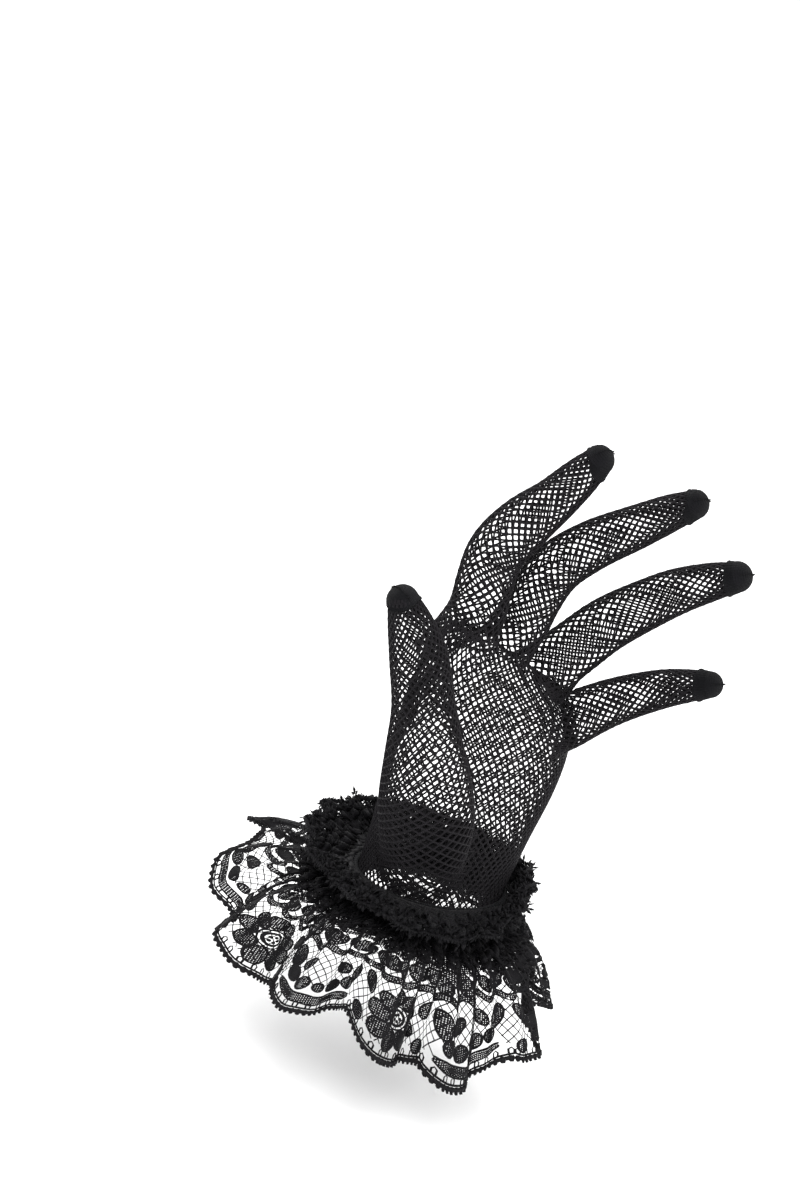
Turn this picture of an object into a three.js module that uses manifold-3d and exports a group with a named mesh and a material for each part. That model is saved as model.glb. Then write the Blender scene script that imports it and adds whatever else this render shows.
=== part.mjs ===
// Fishnet dress glove for a left hand, with a gathered lace cuff.
// Millimetres. The origin is the middle of the wrist on the gather line, +Z runs up the wrist into the hand,
// the palm faces -Y and the thumb lies toward -X. The glove keeps the form that a hand gives it.
import * as THREE from 'three';
import { mergeVertices } from 'three/addons/utils/BufferGeometryUtils.js';
import Module from 'manifold-3d';

const wasm = await Module();
wasm.setup();

// Driving dimensions
const NET_WALL = 1.2;
const LACE_WALL = 1.2;
const BAND_WALL = 1.8;
const JOIN_GAP = 0.3;
const DIGIT_SIDES = 10;
const PALM_SIDES = 20;
const DIGIT_STEPS = 7;
const PALM_STEPS = 7;
const DOME_STEPS = 2;
const DOME_FLAT_STEP = 0.3;
const ROW_STEP = 0.02;
const NET_HEM_Z = -4;
const BAND_BOTTOM_Z = -4;
const BAND_TOP_Z = 3;
const WRIST_HALF_X = 26.5;
const WRIST_HALF_Y = 19.0;
const BAND_SHIFT_X = 0.3;
const BAND_SIDES = 36;
const SCALLOPS = 12;
const CUTTER_GROWTH = 2.2;
const START_GAP = 0.02;
const HEM_BOX = 200;
const TIP_LENGTH = 8;
const WRIST_Y = -0.8;

// The frills start this far outside the wrist, and the band stands this far off the net
const FRILL_START = 1.4;
const BAND_CLEARANCE = 0.6;

// Palm sections from the wrist to the knuckles: middle of each, half width along X and half depth along Y.
// "tilt" is the fall of the section per millimetre toward +X, as the knuckles fall toward the little finger.
// "corner" is 1 for an oval section and less for a squarer one.
const PALM = [
  { z: -9, x: 0, y: -1.2, halfX: 26.3, halfY: 18.8, tilt: 0, corner: 1 },
  { z: 2, x: 0.4, y: -0.8, halfX: 26.5, halfY: 18.8, tilt: 0, corner: 1 },
  { z: 20, x: 3.5, y: 1.1, halfX: 29.5, halfY: 18, tilt: 0.02, corner: 0.95 },
  { z: 36, x: 5.6, y: 2.5, halfX: 34, halfY: 16.5, tilt: 0.06, corner: 0.9 },
  { z: 51, x: 6.1, y: 3.8, halfX: 36, halfY: 15, tilt: 0.12, corner: 0.86 },
  { z: 64, x: 5, y: 4.2, halfX: 34.5, halfY: 13, tilt: 0.25, corner: 0.86 },
  { z: 75, x: 3, y: 3.6, halfX: 30, halfY: 10.5, tilt: 0.38, corner: 0.86 },
  { z: 79, x: 2.4, y: 3, halfX: 24, halfY: 7, tilt: 0.42, corner: 0.86 },
];

// Centre line and half thickness of each digit, from inside the palm to the start of its round end.
const DIGITS = {
  thumb: [
    { x: -11.5, y: -5.6, z: 5, half: 10.6 },
    { x: -19.7, y: -8.9, z: 23.7, half: 14 },
    { x: -25.9, y: -9.1, z: 36.6, half: 14.3 },
    { x: -34, y: -8.9, z: 52.7, half: 11.8 },
    { x: -38.7, y: -6.3, z: 66.4, half: 9.4 },
    { x: -43.9, y: -2.7, z: 80.5, half: 8.8 },
    { x: -51.1, y: -0.5, z: 91.6, half: 6.6 },
    { x: -55.9, y: 0.6, z: 97.8, half: 4.6 },
  ],
  index: [
    { x: -19, y: 10.2, z: 71.6, half: 9.2 },
    { x: -16.6, y: 5, z: 89.9, half: 8.9 },
    { x: -17.5, y: 5.2, z: 100.9, half: 8.6 },
    { x: -17.5, y: 5, z: 112, half: 8.7 },
    { x: -15.8, y: 0.3, z: 123.4, half: 8.4 },
    { x: -14, y: -5.7, z: 133.8, half: 7 },
    { x: -12.3, y: -11.3, z: 145.1, half: 5.8 },
    { x: -11.5, y: -14.5, z: 151.5, half: 4.4 },
  ],
  middle: [
    { x: -1.1, y: 9.8, z: 69, half: 8.8 },
    { x: 1.5, y: 2.6, z: 86.1, half: 8.4 },
    { x: 1.9, y: 0.5, z: 98.4, half: 8.1 },
    { x: 2.6, y: -2.5, z: 110.1, half: 8.1 },
    { x: 4.8, y: -10.9, z: 122, half: 7.6 },
    { x: 7.4, y: -20.1, z: 131.7, half: 6.8 },
    { x: 10.6, y: -29.5, z: 141.8, half: 5.6 },
    { x: 12.4, y: -35.1, z: 147.4, half: 4.3 },
  ],
  ring: [
    { x: 14.2, y: 8.4, z: 59.7, half: 9 },
    { x: 19.2, y: 0.7, z: 74, half: 9 },
    { x: 23.2, y: -4.2, z: 84.2, half: 8.7 },
    { x: 26.9, y: -9.2, z: 94.2, half: 8.4 },
    { x: 30.8, y: -16.5, z: 104.1, half: 7.8 },
    { x: 35, y: -24.2, z: 113.2, half: 7 },
    { x: 39.1, y: -33.1, z: 121.1, half: 5.7 },
    { x: 41.5, y: -38.1, z: 124.9, half: 4.5 },
  ],
  little: [
    { x: 25, y: 4.6, z: 47.5, half: 8.6 },
    { x: 29.5, y: -5.2, z: 58, half: 8.4 },
    { x: 31.4, y: -10.7, z: 64.6, half: 7.8 },
    { x: 33.2, y: -15.5, z: 70.2, half: 7.4 },
    { x: 36, y: -22.3, z: 76.7, half: 6.7 },
    { x: 39.4, y: -29.1, z: 82.4, half: 6 },
    { x: 42, y: -37.2, z: 87.7, half: 4.9 },
    { x: 43.5, y: -41.7, z: 90.2, half: 3.8 },
  ],
};

// Row at which each digit's own tube starts, and a direction across the digit.
const DIGIT_START = { thumb: 0, index: 1, middle: 1, ring: 1, little: 1 };
const DIGIT_ACROSS = {
  thumb: new THREE.Vector3(0, -1, 0),
  index: new THREE.Vector3(1, 0, 0),
  middle: new THREE.Vector3(1, 0, 0),
  ring: new THREE.Vector3(1, 0, 0),
  little: new THREE.Vector3(1, 0, 0),
};

// Free edges of the two frills: reach is the distance from the wrist's axis, rise the height of the edge,
// both at an angle counted from +X toward +Y.
const FLOUNCE_EDGE = [
  { angle: 0, reach: 48, rise: -33 },
  { angle: 40, reach: 53, rise: -38 },
  { angle: 80, reach: 58, rise: -26 },
  { angle: 110, reach: 61, rise: -8 },
  { angle: 130, reach: 59, rise: -24 },
  { angle: 152, reach: 56, rise: -32 },
  { angle: 180, reach: 52, rise: -37 },
  { angle: 205, reach: 54, rise: -31 },
  { angle: 232, reach: 50, rise: -41 },
  { angle: 255, reach: 54, rise: -41 },
  { angle: 275, reach: 55, rise: -30 },
  { angle: 300, reach: 46, rise: -24 },
  { angle: 325, reach: 43, rise: -27 },
];
const HEADING_EDGE = [
  { angle: 0, reach: 35, rise: 10.5 },
  { angle: 60, reach: 36, rise: 11 },
  { angle: 120, reach: 39, rise: 9 },
  { angle: 180, reach: 41, rise: 3 },
  { angle: 240, reach: 40, rise: 1 },
  { angle: 300, reach: 29.5, rise: 10 },
  { angle: 330, reach: 30.5, rise: 11 },
];

// Frills: height of the gather line, number of folds and their depth, rise of the middle above the straight
// line between its edges, share of the depth lost between scallops, and the mesh's steps round and down.
// The drift sways the folds so that they aren't all alike, the rounding widens their crests, and a flare
// below 1 lets a frill stand out first and fall later.
const FLOUNCE = { startZ: -4.3, folds: 12, fold: 5.2, arch: 3.5, scallop: 0.1, around: 84, down: 3 };
const HEADING = { startZ: 3.3, folds: 14, fold: 1.8, arch: 0.75, scallop: 0.12, around: 56, down: 2 };
const FOLD_DRIFT = 0.6;
const DRIFT_WAVES = 3;
const FOLD_ROUNDING = 0.03;
const FLARE = 0.6;

// Coarse net gaps: rings along each tube, gaps round each ring, and the part of the tube that they take.
const NET_GAPS = {
  thumb: { rings: 3, round: 4, from: 0.3, to: 0.8, halfWidth: 2.6, halfLength: 4.6 },
  index: { rings: 2, round: 4, from: 0.28, to: 0.72, halfWidth: 2.3, halfLength: 5 },
  middle: { rings: 2, round: 4, from: 0.28, to: 0.72, halfWidth: 2.2, halfLength: 5 },
  ring: { rings: 2, round: 4, from: 0.3, to: 0.72, halfWidth: 2.2, halfLength: 5 },
  little: { rings: 2, round: 3, from: 0.34, to: 0.66, halfWidth: 2, halfLength: 4.4 },
};
const PALM_GAPS = { heights: [18, 34, 50], turns: [-0.81, -0.16, 0.49], halfWidth: 3, halfLength: 5.8 };
const FLOUNCE_GAPS = { count: 12, halfWidth: 3.4, halfLength: 5.2 };
const HEADING_GAPS = { count: 6, halfWidth: 2.4, halfLength: 2.4 };
const FRILL_GAP_DEPTH = 0.58;
const GAP_CUT_DEPTH = 4;

const netMaterial = new THREE.MeshStandardMaterial({ color: 0x131214, roughness: 0.75, metalness: 0 });
const knitMaterial = new THREE.MeshStandardMaterial({ color: 0x0c0b0d, roughness: 0.85, metalness: 0 });
const laceMaterial = new THREE.MeshStandardMaterial({ color: 0x0f0e10, roughness: 0.6, metalness: 0 });
const bandMaterial = new THREE.MeshStandardMaterial({ color: 0x100f11, roughness: 0.7, metalness: 0 });

// Smooth value at t between the middle two of four values
function smooth(a, b, c, d, t) {
  const square = (2 * a - 5 * b + 4 * c - d) * t ** 2;
  const cube = (3 * b - a - 3 * c + d) * t ** 3;
  return 0.5 * (2 * b + (c - a) * t + square + cube);
}

// Smooth value through table values at a fractional row
function throughRows(values, row) {
  const last = values.length - 1;
  const i = Math.min(Math.floor(row), last - 1);
  const at = (k) => values[THREE.MathUtils.clamp(k, 0, last)];
  return smooth(at(i - 1), at(i), at(i + 1), at(i + 2), row - i);
}

// Smooth value round a closed table of angles
function roundTable(rows, column, angle) {
  const turned = ((angle % 360) + 360) % 360;
  const count = rows.length;
  let i = count - 1;
  while (i > 0 && rows[i].angle > turned) i -= 1;
  const start = rows[i].angle;
  const next = rows[(i + 1) % count].angle + (i + 1 === count ? 360 : 0);
  const at = (k) => rows[(k + count) % count][column];
  return smooth(at(i - 1), at(i), at(i + 1), at(i + 2), (turned - start) / (next - start));
}

// Closed skin over a list of rings with the same number of points, with flat ends
function loft(rings) {
  const sides = rings[0].length;
  const points = rings.flat();
  const faces = [];
  for (let r = 0; r + 1 < rings.length; r += 1) {
    for (let s = 0; s < sides; s += 1) {
      const next = (s + 1) % sides;
      const a = r * sides + s;
      const b = r * sides + next;
      faces.push(a, b, b + sides, a, b + sides, a + sides);
    }
  }
  const top = (rings.length - 1) * sides;
  for (let s = 1; s + 1 < sides; s += 1) {
    faces.push(0, s + 1, s);
    faces.push(top, top + s, top + s + 1);
  }
  return geometryFrom(points, faces);
}

// Skin of a sheet that closes on itself both round the wrist and round its own thickness
function closedSheet(columns) {
  const around = columns.length;
  const across = columns[0].length;
  const faces = [];
  for (let u = 0; u < around; u += 1) {
    const nextU = (u + 1) % around;
    for (let v = 0; v < across; v += 1) {
      const nextV = (v + 1) % across;
      const corner = (column, row) => column * across + row;
      faces.push(corner(u, v), corner(nextU, v), corner(nextU, nextV));
      faces.push(corner(u, v), corner(nextU, nextV), corner(u, nextV));
    }
  }
  return geometryFrom(columns.flat(), faces);
}

function geometryFrom(points, faces) {
  const places = points.flatMap((point) => [point.x, point.y, point.z]);
  const geometry = new THREE.BufferGeometry();
  geometry.setAttribute('position', new THREE.Float32BufferAttribute(places, 3));
  geometry.setIndex(faces);
  return geometry;
}

function solidFrom(geometry) {
  const plain = geometry.clone();
  plain.deleteAttribute('normal');
  plain.deleteAttribute('uv');
  const merged = mergeVertices(plain, 1e-4);
  const mesh = new wasm.Mesh({
    numProp: 3,
    vertProperties: new Float32Array(merged.attributes.position.array),
    triVerts: new Uint32Array(merged.index.array),
  });
  return new wasm.Manifold(mesh);
}

function meshFrom(name, solid, material) {
  const { vertProperties, triVerts } = solid.getMesh();
  const geometry = new THREE.BufferGeometry();
  geometry.setAttribute('position', new THREE.BufferAttribute(new Float32Array(vertProperties), 3));
  geometry.setIndex(new THREE.BufferAttribute(new Uint32Array(triVerts), 1));
  geometry.computeVertexNormals();
  const mesh = new THREE.Mesh(geometry, material);
  mesh.name = name;
  return mesh;
}

// Palm: round-cornered sections that fall toward the little finger
function palmPoint(row, turn, growth) {
  const value = (column) => throughRows(PALM.map((section) => section[column]), row);
  const round = (n) => Math.sign(n) * Math.abs(n) ** value('corner');
  const dx = (value('halfX') + growth) * round(Math.cos(turn));
  const dy = (value('halfY') + growth) * round(Math.sin(turn));
  return new THREE.Vector3(value('x') + dx, value('y') + dy, value('z') - value('tilt') * dx);
}

// The inner skin ends lower at the knuckles, by the wall, and reaches below the outer skin at the hem
function palmSolid(growth) {
  const rings = [];
  const last = PALM.length - 1;
  for (let step = 0; step <= PALM_STEPS; step += 1) {
    const ring = [];
    for (let s = 0; s < PALM_SIDES; s += 1) {
      const point = palmPoint((last * step) / PALM_STEPS, (2 * Math.PI * s) / PALM_SIDES, growth);
      if (step === PALM_STEPS) point.z += growth;
      if (step === 0) point.z -= Math.abs(growth);
      ring.push(point);
    }
    rings.push(ring);
  }
  return solidFrom(loft(rings));
}

// Place, direction and cross directions of a digit at a fractional row
function digitFrame(name, row) {
  const rows = DIGITS[name];
  const value = (column, at) => throughRows(rows.map((section) => section[column]), at);
  const place = (at) => new THREE.Vector3(value('x', at), value('y', at), value('z', at));
  const last = rows.length - 1;
  const reach = 0.05;
  const before = place(Math.max(row - reach, 0));
  const after = place(Math.min(row + reach, last));
  const along = after.sub(before).normalize();
  const normal = new THREE.Vector3().crossVectors(along, DIGIT_ACROSS[name]).normalize();
  const across = new THREE.Vector3().crossVectors(normal, along);
  return { centre: place(row), along, across, normal, half: value('half', row) };
}

function digitRing(frame, radius, shift) {
  const ring = [];
  for (let s = 0; s < DIGIT_SIDES; s += 1) {
    const turn = (2 * Math.PI * s) / DIGIT_SIDES;
    ring.push(frame.centre.clone()
      .addScaledVector(frame.along, shift)
      .addScaledVector(frame.across, radius * Math.cos(turn))
      .addScaledVector(frame.normal, radius * Math.sin(turn)));
  }
  return ring;
}

function digitSolid(name, growth, startRow) {
  const last = DIGITS[name].length - 1;
  const rings = [];
  for (let step = 0; step <= DIGIT_STEPS; step += 1) {
    const frame = digitFrame(name, startRow + ((last - startRow) * step) / DIGIT_STEPS);
    rings.push(digitRing(frame, frame.half + growth, 0));
  }
  const end = digitFrame(name, last);
  for (let step = 1; step <= DOME_STEPS; step += 1) {
    const angle = (step / (DOME_STEPS + DOME_FLAT_STEP)) * (Math.PI / 2);
    const radius = end.half + growth;
    rings.push(digitRing(end, radius * Math.cos(angle), radius * Math.sin(angle)));
  }
  return solidFrom(loft(rings));
}

// Box that starts at a section of a digit and reaches past its end
function beyondSection(name, row, gap) {
  const frame = digitFrame(name, row);
  const size = 60;
  const box = new THREE.BoxGeometry(size, size, size);
  const basis = new THREE.Matrix4().makeBasis(frame.across, frame.normal, frame.along);
  const centre = frame.centre.clone().addScaledVector(frame.along, size / 2 + gap);
  box.applyMatrix4(basis.setPosition(centre));
  return solidFrom(box);
}

// Row at which a digit has the given length left before its last section
function rowBeforeEnd(name, length) {
  const last = DIGITS[name].length - 1;
  let row = last;
  let travelled = 0;
  while (travelled < length && row > 0) {
    travelled += digitFrame(name, row).centre.distanceTo(digitFrame(name, row - ROW_STEP).centre);
    row -= ROW_STEP;
  }
  return row;
}

// Four-sided cutter through a wall, with its long diagonal along the given direction
function diamond(place, outward, along, gap) {
  const cutter = new THREE.CylinderGeometry(1, 1, GAP_CUT_DEPTH, 4);
  const third = new THREE.Vector3().crossVectors(along, outward).normalize();
  const upright = new THREE.Vector3().crossVectors(outward, third).normalize();
  cutter.scale(gap.halfWidth, 1, gap.halfLength);
  cutter.applyMatrix4(new THREE.Matrix4().makeBasis(third, outward, upright.negate()).setPosition(place));
  return solidFrom(cutter);
}

function cutAll(solid, cutters) {
  let result = solid;
  cutters.forEach((cutter) => { result = result.subtract(cutter); });
  return result;
}

function digitGaps(name) {
  const gaps = NET_GAPS[name];
  const last = DIGITS[name].length - 1;
  const cutters = [];
  for (let r = 0; r < gaps.rings; r += 1) {
    const share = gaps.from + ((gaps.to - gaps.from) * r) / (gaps.rings - 1);
    const frame = digitFrame(name, share * last);
    for (let g = 0; g < gaps.round; g += 1) {
      const turn = (2 * Math.PI * (g + (r % 2) * 0.5)) / gaps.round;
      const outward = frame.across.clone().multiplyScalar(Math.cos(turn));
      outward.addScaledVector(frame.normal, Math.sin(turn));
      const place = frame.centre.clone().addScaledVector(outward, frame.half);
      cutters.push(diamond(place, outward, frame.along, gaps));
    }
  }
  return cutters;
}

// The palm and the back of the hand have two gaps in each row, and every second row is shifted by one turn
function palmGaps() {
  const cutters = [];
  const upward = new THREE.Vector3(0, 0, 1);
  PALM_GAPS.heights.forEach((height, r) => {
    const row = rowAtHeight(height);
    const turns = r % 2 === 0 ? PALM_GAPS.turns.slice(0, 2) : PALM_GAPS.turns.slice(1);
    turns.forEach((turn) => {
      [turn - Math.PI / 2, Math.PI / 2 - turn].forEach((place) => {
        cutters.push(diamond(palmPoint(row, place, 0), outwardOnPalm(row, place), upward, PALM_GAPS));
      });
    });
  });
  return cutters;
}

function rowAtHeight(height) {
  let row = 0;
  while (throughRows(PALM.map((section) => section.z), row) < height) row += ROW_STEP;
  return row;
}

function outwardOnPalm(row, turn) {
  const small = 0.01;
  const round = palmPoint(row, turn + small, 0).sub(palmPoint(row, turn - small, 0));
  const up = palmPoint(row + small, turn, 0).sub(palmPoint(row - small, turn, 0));
  return new THREE.Vector3().crossVectors(round, up).normalize();
}

// One point of a frill's middle surface: u in turns round the wrist, t from the gather line to the free edge
function frillPoint(frill, edge, u, t) {
  const angle = 2 * Math.PI * u;
  const startX = (WRIST_HALF_X + FRILL_START) * Math.cos(angle);
  const startY = (WRIST_HALF_Y + FRILL_START) * Math.sin(angle) + WRIST_Y;
  const start = Math.hypot(startX, startY);
  const s = t * (1 - frill.scallop * (1 - Math.abs(Math.sin(0.5 * SCALLOPS * angle))));
  const fold = frill.fold * s * Math.sin(frill.folds * angle + FOLD_DRIFT * Math.sin(DRIFT_WAVES * angle));
  const reach = start + (roundTable(edge, 'reach', 360 * u) - start) * s ** FLARE + fold;
  const rise = frill.startZ + (roundTable(edge, 'rise', 360 * u) - frill.startZ) * s;
  const turned = angle - FOLD_ROUNDING * s * Math.cos(frill.folds * angle);
  const y = reach * Math.sin(turned) + WRIST_Y * (1 - s);
  return new THREE.Vector3(reach * Math.cos(turned), y, rise + frill.arch * Math.sin(Math.PI * s));
}

// Across the sheet: level at the gather line, and square to the sheet elsewhere
function frillNormal(frill, edge, u, t) {
  const small = 0.002;
  if (t < small) {
    const middle = frillPoint(frill, edge, u, t);
    return new THREE.Vector3(middle.x, middle.y, 0).normalize();
  }
  const round = frillPoint(frill, edge, u + small, t).sub(frillPoint(frill, edge, u - small, t));
  const down = frillPoint(frill, edge, u, t + small).sub(frillPoint(frill, edge, u, t - small));
  const normal = new THREE.Vector3().crossVectors(round, down).normalize();
  return frill.startZ < 0 ? normal.negate() : normal;
}

// Closed skin of a frill: down its outer face and back up its inner face
function frillSolid(frill, edge) {
  const columns = [];
  for (let i = 0; i < frill.around; i += 1) {
    const u = i / frill.around;
    const outer = [];
    const inner = [];
    for (let j = 0; j <= frill.down; j += 1) {
      const middle = frillPoint(frill, edge, u, j / frill.down);
      const normal = frillNormal(frill, edge, u, j / frill.down);
      outer.push(middle.clone().addScaledVector(normal, LACE_WALL / 2));
      inner.push(middle.clone().addScaledVector(normal, -LACE_WALL / 2));
    }
    columns.push([...outer, ...inner.reverse()]);
  }
  if (frill.startZ < 0) columns.reverse();
  return solidFrom(closedSheet(columns));
}

function frillGaps(frill, edge, gaps) {
  const cutters = [];
  const small = 0.01;
  const t = FRILL_GAP_DEPTH;
  for (let g = 0; g < gaps.count; g += 1) {
    const u = (g + 0.5) / gaps.count;
    const down = frillPoint(frill, edge, u, t + small).sub(frillPoint(frill, edge, u, t - small)).normalize();
    cutters.push(diamond(frillPoint(frill, edge, u, t), frillNormal(frill, edge, u, t), down, gaps));
  }
  return cutters;
}

// Gathered band: an oval ring round the hem of the net
function bandRing(growth, z) {
  const ring = [];
  for (let s = 0; s < BAND_SIDES; s += 1) {
    const turn = (2 * Math.PI * s) / BAND_SIDES;
    const x = (WRIST_HALF_X + growth) * Math.cos(turn) + BAND_SHIFT_X;
    ring.push(new THREE.Vector3(x, (WRIST_HALF_Y + growth) * Math.sin(turn) + WRIST_Y, z));
  }
  return ring;
}

function bandSolid() {
  const outside = BAND_CLEARANCE + BAND_WALL;
  const outer = solidFrom(loft([bandRing(outside, BAND_BOTTOM_Z), bandRing(outside, BAND_TOP_Z)]));
  const boreRings = [bandRing(BAND_CLEARANCE, BAND_BOTTOM_Z - 1), bandRing(BAND_CLEARANCE, BAND_TOP_Z + 1)];
  const bore = solidFrom(loft(boreRings));
  return outer.subtract(bore);
}

// Largest of the loose solids that cutting has left
function largest(solid) {
  const pieces = solid.decompose();
  pieces.sort((a, b) => b.volume() - a.volume());
  return pieces[0];
}

// Hand-shaped shell, open at the hem
const digitNames = Object.keys(DIGITS);
let outerHand = palmSolid(0);
let innerHand = palmSolid(-NET_WALL);
digitNames.forEach((name) => {
  outerHand = outerHand.add(digitSolid(name, 0, 0));
  innerHand = innerHand.add(digitSolid(name, -NET_WALL, 0));
});
const hemBox = new THREE.BoxGeometry(HEM_BOX, HEM_BOX, HEM_BOX);
hemBox.translate(0, 0, NET_HEM_Z - HEM_BOX / 2);
const shell = outerHand.subtract(innerHand).subtract(solidFrom(hemBox));

// Each digit takes the part of the shell round its own centre line, and the palm keeps the rest
const glove = new THREE.Group();
let palmNet = shell;
let fingersNet = shell;
digitNames.forEach((name) => {
  const last = DIGITS[name].length - 1;
  const start = DIGIT_START[name];
  const net = fingersNet.intersect(digitSolid(name, CUTTER_GROWTH, start));
  const clear = digitSolid(name, CUTTER_GROWTH + JOIN_GAP, Math.max(start - START_GAP, 0));
  fingersNet = fingersNet.subtract(clear);
  palmNet = palmNet.subtract(clear);
  const tipRow = rowBeforeEnd(name, TIP_LENGTH - digitFrame(name, last).half);
  const tip = net.intersect(beyondSection(name, tipRow, 0));
  const shaft = cutAll(net.subtract(beyondSection(name, tipRow, -JOIN_GAP)), digitGaps(name));
  glove.add(meshFrom(`${name}_net`, largest(shaft), netMaterial));
  glove.add(meshFrom(`${name}_tip`, tip, knitMaterial));
});
glove.add(meshFrom('palm_net', largest(cutAll(palmNet, palmGaps())), netMaterial));
glove.add(meshFrom('gather_band', bandSolid(), bandMaterial));
const flounce = cutAll(frillSolid(FLOUNCE, FLOUNCE_EDGE), frillGaps(FLOUNCE, FLOUNCE_EDGE, FLOUNCE_GAPS));
glove.add(meshFrom('lace_flounce', flounce, laceMaterial));
const heading = cutAll(frillSolid(HEADING, HEADING_EDGE), frillGaps(HEADING, HEADING_EDGE, HEADING_GAPS));
glove.add(meshFrom('lace_heading', heading, laceMaterial));

export default glove;
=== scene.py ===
"""Fishnet glove: yarn net, knitted fingertips and a gathered lace cuff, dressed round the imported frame."""
import math
from functools import cache

import bpy
import numpy as np
from mathutils import Matrix, Vector
from mathutils.bvhtree import BVHTree


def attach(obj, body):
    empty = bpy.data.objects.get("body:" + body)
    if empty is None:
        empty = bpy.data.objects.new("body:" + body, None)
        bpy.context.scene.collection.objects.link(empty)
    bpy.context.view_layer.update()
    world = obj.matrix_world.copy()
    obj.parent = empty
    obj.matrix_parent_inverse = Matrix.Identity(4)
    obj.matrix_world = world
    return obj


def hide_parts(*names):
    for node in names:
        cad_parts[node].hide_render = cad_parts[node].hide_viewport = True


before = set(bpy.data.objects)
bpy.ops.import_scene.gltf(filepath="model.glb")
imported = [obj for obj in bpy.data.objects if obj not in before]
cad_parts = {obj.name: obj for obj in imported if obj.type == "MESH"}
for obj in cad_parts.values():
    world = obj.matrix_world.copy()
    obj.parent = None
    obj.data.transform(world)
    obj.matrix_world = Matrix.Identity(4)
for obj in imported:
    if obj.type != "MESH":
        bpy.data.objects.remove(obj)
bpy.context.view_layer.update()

bl_info = {
    "name": "Fishnet glove",
    "version": (1, 0, 0),
    "blender": (4, 5, 0),
    "location": "View3D > Sidebar > Glove",
    "description": "Dresses a fishnet glove with yarn, knit and lace",
    "category": "Object",
}

MM = 0.001
FLAT_SCALE = 0.1

# Palm sections and digit centre lines, in millimetres: the rows that the frame's solids are made from.
# Columns of the palm: z, x, y, half width, half depth, tilt, corner; of a digit: x, y, z, half thickness
PALM = np.array([
    (-9, 0, -1.2, 26.3, 18.8, 0, 1),
    (2, 0.4, -0.8, 26.5, 18.8, 0, 1),
    (20, 3.5, 1.1, 29.5, 18, 0.02, 0.95),
    (36, 5.6, 2.5, 34, 16.5, 0.06, 0.9),
    (51, 6.1, 3.8, 36, 15, 0.12, 0.86),
    (64, 5, 4.2, 34.5, 13, 0.25, 0.86),
    (75, 3, 3.6, 30, 10.5, 0.38, 0.86),
    (79, 2.4, 3, 24, 7, 0.42, 0.86),
])
DIGITS = {"thumb": [
    (-11.5, -5.6, 5, 10.6), (-19.7, -8.9, 23.7, 14), (-25.9, -9.1, 36.6, 14.3), (-34, -8.9, 52.7, 11.8),
    (-38.7, -6.3, 66.4, 9.4), (-43.9, -2.7, 80.5, 8.8), (-51.1, -0.5, 91.6, 6.6), (-55.9, 0.6, 97.8, 4.6),
], "index": [
    (-19, 10.2, 71.6, 9.2), (-16.6, 5, 89.9, 8.9), (-17.5, 5.2, 100.9, 8.6), (-17.5, 5, 112, 8.7),
    (-15.8, 0.3, 123.4, 8.4), (-14, -5.7, 133.8, 7), (-12.3, -11.3, 145.1, 5.8), (-11.5, -14.5, 151.5, 4.4),
], "middle": [
    (-1.1, 9.8, 69, 8.8), (1.5, 2.6, 86.1, 8.4), (1.9, 0.5, 98.4, 8.1), (2.6, -2.5, 110.1, 8.1),
    (4.8, -10.9, 122, 7.6), (7.4, -20.1, 131.7, 6.8), (10.6, -29.5, 141.8, 5.6), (12.4, -35.1, 147.4, 4.3),
], "ring": [
    (14.2, 8.4, 59.7, 9), (19.2, 0.7, 74, 9), (23.2, -4.2, 84.2, 8.7), (26.9, -9.2, 94.2, 8.4),
    (30.8, -16.5, 104.1, 7.8), (35, -24.2, 113.2, 7), (39.1, -33.1, 121.1, 5.7), (41.5, -38.1, 124.9, 4.5),
], "little": [
    (25, 4.6, 47.5, 8.6), (29.5, -5.2, 58, 8.4), (31.4, -10.7, 64.6, 7.8), (33.2, -15.5, 70.2, 7.4),
    (36, -22.3, 76.7, 6.7), (39.4, -29.1, 82.4, 6), (42, -37.2, 87.7, 4.9), (43.5, -41.7, 90.2, 3.8),
]}
# Direction, made square to each digit, at which the turn round it starts
DIGIT_ACROSS = {name: (1, 0, 0) for name in DIGITS} | {"thumb": (0, -1, 0)}
TIP_LENGTH = 8
WRIST_HALF = (26.5, 19.0)
WRIST_Y = -0.8
SCALLOPS = 12

# Frills: "edge" holds angle in degrees, reach and rise of the free edge; "start" is the height of the gather
# line, "folds" and "fold" the number and height of the folds, "arch" the rise of the middle, "scallop" the
# share of the depth lost between scallops, "deep" the flat depth, "pleats" and "pleat" the number and height
# of the pleats, and "strip" the depth of the close clothwork beside the gather line
FLOUNCE = {
    "edge": [(0, 48, -33), (40, 53, -38), (80, 58, -26), (110, 61, -8), (130, 59, -24), (152, 56, -32),
             (180, 52, -37), (205, 54, -31), (232, 50, -41), (255, 54, -41), (275, 55, -30), (300, 46, -24),
             (325, 43, -27)],
    "start": -4.3, "folds": 12, "fold": 5.2, "arch": 3.5, "scallop": 0.1, "deep": 50, "pleats": 44,
    "pleat": 2.1, "strip": 12,
}
HEADING = {
    "edge": [(0, 35, 10.5), (60, 36, 11), (120, 39, 9), (180, 41, 3), (240, 40, 1), (300, 29.5, 10),
             (330, 30.5, 11)],
    "start": 3.3, "folds": 14, "fold": 1.8, "arch": 0.75, "scallop": 0.12, "deep": 15, "pleats": 36,
    "pleat": 2.3, "strip": 7,
}
LACE_LENGTH = 408.0
SCALLOP = LACE_LENGTH / SCALLOPS

# Hang of the frills: start outside the wrist, spread toward the edge, drift and rounding of the folds
FRILL_START = 1.4
FLARE = 0.6
FOLD_DRIFT = 0.6
DRIFT_WAVES = 3
FOLD_ROUNDING = 0.03

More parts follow.
